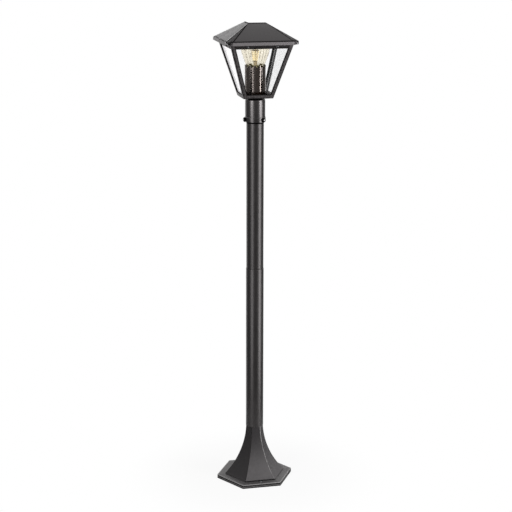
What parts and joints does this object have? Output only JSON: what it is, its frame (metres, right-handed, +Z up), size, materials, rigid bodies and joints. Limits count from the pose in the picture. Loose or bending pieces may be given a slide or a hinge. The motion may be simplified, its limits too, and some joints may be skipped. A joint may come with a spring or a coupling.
{
  "type": "floor lamp",
  "caption": "Lantern floor lamp: a four-sided glazed lantern with a hipped roof, turning on a slender round post in a flared hexagonal foot.",
  "frame": {"origin": "on the post's axis at the underside of the floor plate", "axes": "+Z up the post, -Y towards the front flat of the hexagonal foot and the front pane, +X to the right seen from the front"},
  "size_m": [0.1682, 0.153, 1],
  "materials": {
    "black_metal": "satin black powder coat",
    "zinc_steel": "zinc plated",
    "screw_steel": "bright screw",
    "dark_screw": "black screw",
    "window_glass": "clear, lightly rippled",
    "bulb_clear_glass": "clear blown glass",
    "sleeve_plastic": "glossy dark brown",
    "holder_plastic": "matt dark plastic",
    "brass_contact": "bare",
    "cap_metal": "nickel plated",
    "filament_glow": "warm coated rods",
    "wire_metal": "dull wire",
    "black_insulator": "vitreous",
    "rubber_black": "soft",
    "terminal_white": "moulded",
    "lead_sheath": "sheathed lead",
    "stem_glass": "clear"
  },
  "bodies": {
    "post": {"floor_plate": "black_metal", "foot_casting": "black_metal", "foot_screws": "dark_screw", "cable_gland": "rubber_black", "terminal_bracket": "zinc_steel", "bracket_screw": "zinc_steel", "terminal_block": "terminal_white", "supply_lead": "lead_sheath", "foot_washer": "zinc_steel", "foot_nut": "zinc_steel", "foot_rod": "zinc_steel", "post_plug": "zinc_steel", "lower_tube": "black_metal", "tube_coupling": "black_metal", "upper_tube": "black_metal"},
    "lantern": {"neck_collar": "black_metal", "neck_rod": "zinc_steel", "neck_nut": "zinc_steel", "lantern_frame": "black_metal", "glass_front": "window_glass", "glass_rear": "window_glass", "glass_right": "window_glass", "glass_left": "window_glass", "holder_base": "holder_plastic", "holder_body": "holder_plastic", "holder_shell": "brass_contact", "holder_contact": "brass_contact", "holder_sleeve": "sleeve_plastic"},
    "bulb": {"bulb_contact": "brass_contact", "bulb_insulator": "black_insulator", "bulb_cap": "cap_metal", "bulb_glass": "bulb_clear_glass", "bulb_stem": "stem_glass", "bulb_filaments": "filament_glow", "filament_rings": "wire_metal"},
    "roof": {"roof_shell": "black_metal", "roof_tray": "black_metal", "roof_gasket": "rubber_black", "tray_screws": "dark_screw"},
    "set_screw_right": {"set_screw_right": "screw_steel"},
    "set_screw_rear": {"set_screw_rear": "screw_steel"},
    "set_screw_left": {"set_screw_left": "screw_steel"},
    "roof_screw_front_right": {"roof_screw_front_right": "dark_screw"},
    "roof_screw_front_left": {"roof_screw_front_left": "dark_screw"},
    "roof_screw_rear_right": {"roof_screw_rear_right": "dark_screw"},
    "roof_screw_rear_left": {"roof_screw_rear_left": "dark_screw"}
  },
  "joints": [
    {"name": "lantern_swivel", "type": "hinge", "parent": "post", "child": "lantern", "pos_m": [0, 0, 0.8], "axis": [0, 0, 1], "range_deg": [-170, 170]},
    {"name": "roof_lift", "type": "slide", "parent": "lantern", "child": "roof", "axis": [0, 0, 1], "range_m": [0, 0.08]},
    {"name": "bulb_unscrew", "type": "slide", "parent": "lantern", "child": "bulb", "axis": [0, 0, 1], "range_m": [0, 0.011]},
    {"name": "set_screw_right_travel", "type": "slide", "parent": "lantern", "child": "set_screw_right", "axis": [0.5878, -0.809, 0], "range_m": [0, 0.003]},
    {"name": "set_screw_rear_travel", "type": "slide", "parent": "lantern", "child": "set_screw_rear", "axis": [0.4067, 0.9135, 0], "range_m": [0, 0.003]},
    {"name": "set_screw_left_travel", "type": "slide", "parent": "lantern", "child": "set_screw_left", "axis": [-0.9945, -0.1045, 0], "range_m": [0, 0.003]},
    {"name": "roof_screw_front_right_travel", "type": "slide", "parent": "lantern", "child": "roof_screw_front_right", "axis": [0, -0.9576, -0.288], "range_m": [0, 0.002]},
    {"name": "roof_screw_front_left_travel", "type": "slide", "parent": "lantern", "child": "roof_screw_front_left", "axis": [0, -0.9576, -0.288], "range_m": [0, 0.002]},
    {"name": "roof_screw_rear_right_travel", "type": "slide", "parent": "lantern", "child": "roof_screw_rear_right", "axis": [0, 0.9576, -0.288], "range_m": [0, 0.002]},
    {"name": "roof_screw_rear_left_travel", "type": "slide", "parent": "lantern", "child": "roof_screw_rear_left", "axis": [0, 0.9576, -0.288], "range_m": [0, 0.002]}
  ]
}
